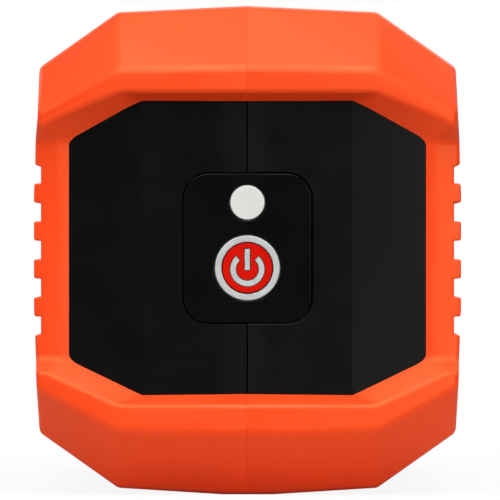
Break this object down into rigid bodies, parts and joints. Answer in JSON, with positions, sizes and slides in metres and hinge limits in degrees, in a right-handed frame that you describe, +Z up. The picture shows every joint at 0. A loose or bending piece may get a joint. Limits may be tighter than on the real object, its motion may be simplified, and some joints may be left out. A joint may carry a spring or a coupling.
{
  "type": "jump starter pack",
  "caption": "Eight-sided rubber-armoured jump starter pack with a power button at one end and covered output and charging ports at the other.",
  "frame": {"origin": "under the middle of the pack, on the surface it lies on", "axes": "+Z up; the control panel looks towards -Y and the ports towards +Y; +X to the right when facing the control panel"},
  "size_m": [0.0852, 0.206, 0.0978],
  "materials": {
    "armour": "satin soft moulded rubber, orange",
    "case": "satin moulded plastic, black",
    "panel": "smooth semi-gloss plastic, black",
    "button": "semi-gloss plastic, red",
    "lens": "smooth translucent plastic, white",
    "ring": "smooth moulded plastic, off-white",
    "seal": "matt moulded rubber, black",
    "cover": "matt moulded rubber, dark grey",
    "board": "solder-masked laminate, green",
    "component": "moulded component body, dark grey",
    "frame": "matt moulded plastic, grey",
    "fuse": "translucent fuse body, amber",
    "foil": "dull laminated foil",
    "foam": "closed-cell foam, dark grey",
    "copper": "bare copper plate",
    "brass": "turned brass",
    "steel": "bright pressed steel",
    "dark_steel": "blackened screw steel",
    "socket": "moulded plastic, blue"
  },
  "bodies": {
    "pack": {"armour_left": "armour", "armour_right": "armour", "case_left": "case", "case_right": "case", "control_panel": "panel", "panel_gasket": "seal", "lamp_lens": "lens", "light_ring": "ring", "button_seal": "seal", "control_board": "board", "switch_body": "component", "lamp_led": "lens", "control_board_screw_1": "steel", "control_board_screw_2": "steel", "battery_frame_front": "frame", "battery_frame_rear": "frame", "main_fuse": "fuse", "positive_bus_bar": "copper", "negative_bus_bar": "copper", "main_board": "board", "boost_inductor": "component", "smoothing_capacitor": "component", "power_transistor_1": "component", "power_transistor_2": "component", "heat_spreader": "steel", "panel_cable": "frame", "rear_panel": "case", "jump_socket": "socket", "socket_contact_positive": "brass", "socket_contact_negative": "brass", "usb_a_port": "steel", "usb_c_port": "steel", "socket_cover_pin": "steel", "port_cover_pin": "steel", "battery_cell_1": "foil", "rear_panel_screw_1": "dark_steel", "battery_cell_2": "foil", "rear_panel_screw_2": "dark_steel", "battery_cell_3": "foil", "rear_panel_screw_3": "dark_steel", "battery_cell_4": "foil", "rear_panel_screw_4": "dark_steel", "cell_pad_1": "foam", "cell_link_1": "copper", "cell_pad_2": "foam", "cell_link_2": "copper", "cell_pad_3": "foam", "cell_link_3": "copper", "case_screw_1": "dark_steel", "case_screw_2": "dark_steel", "case_screw_3": "dark_steel", "case_screw_4": "dark_steel", "case_screw_5": "dark_steel", "case_screw_6": "dark_steel"},
    "power_button": {"button_cap": "button", "button_core": "ring", "switch_plunger": "lens"},
    "socket_cover_flap": {"socket_cover": "cover"},
    "port_cover_flap": {"port_cover": "cover"}
  },
  "joints": [
    {"name": "press_button", "type": "slide", "parent": "pack", "child": "power_button", "axis": [0, 1, 0], "range_m": [0, 0.0006], "stiffness_N_per_m": 400, "springref_m": -0.002},
    {"name": "lift_socket_cover", "type": "hinge", "parent": "pack", "child": "socket_cover_flap", "pos_m": [-0.0095, 0.0986, 0.0617], "axis": [1, 0, 0], "range_deg": [0, 110]},
    {"name": "lift_port_cover", "type": "hinge", "parent": "pack", "child": "port_cover_flap", "pos_m": [0.0158, 0.0986, 0.0617], "axis": [1, 0, 0], "range_deg": [0, 110]}
  ]
}
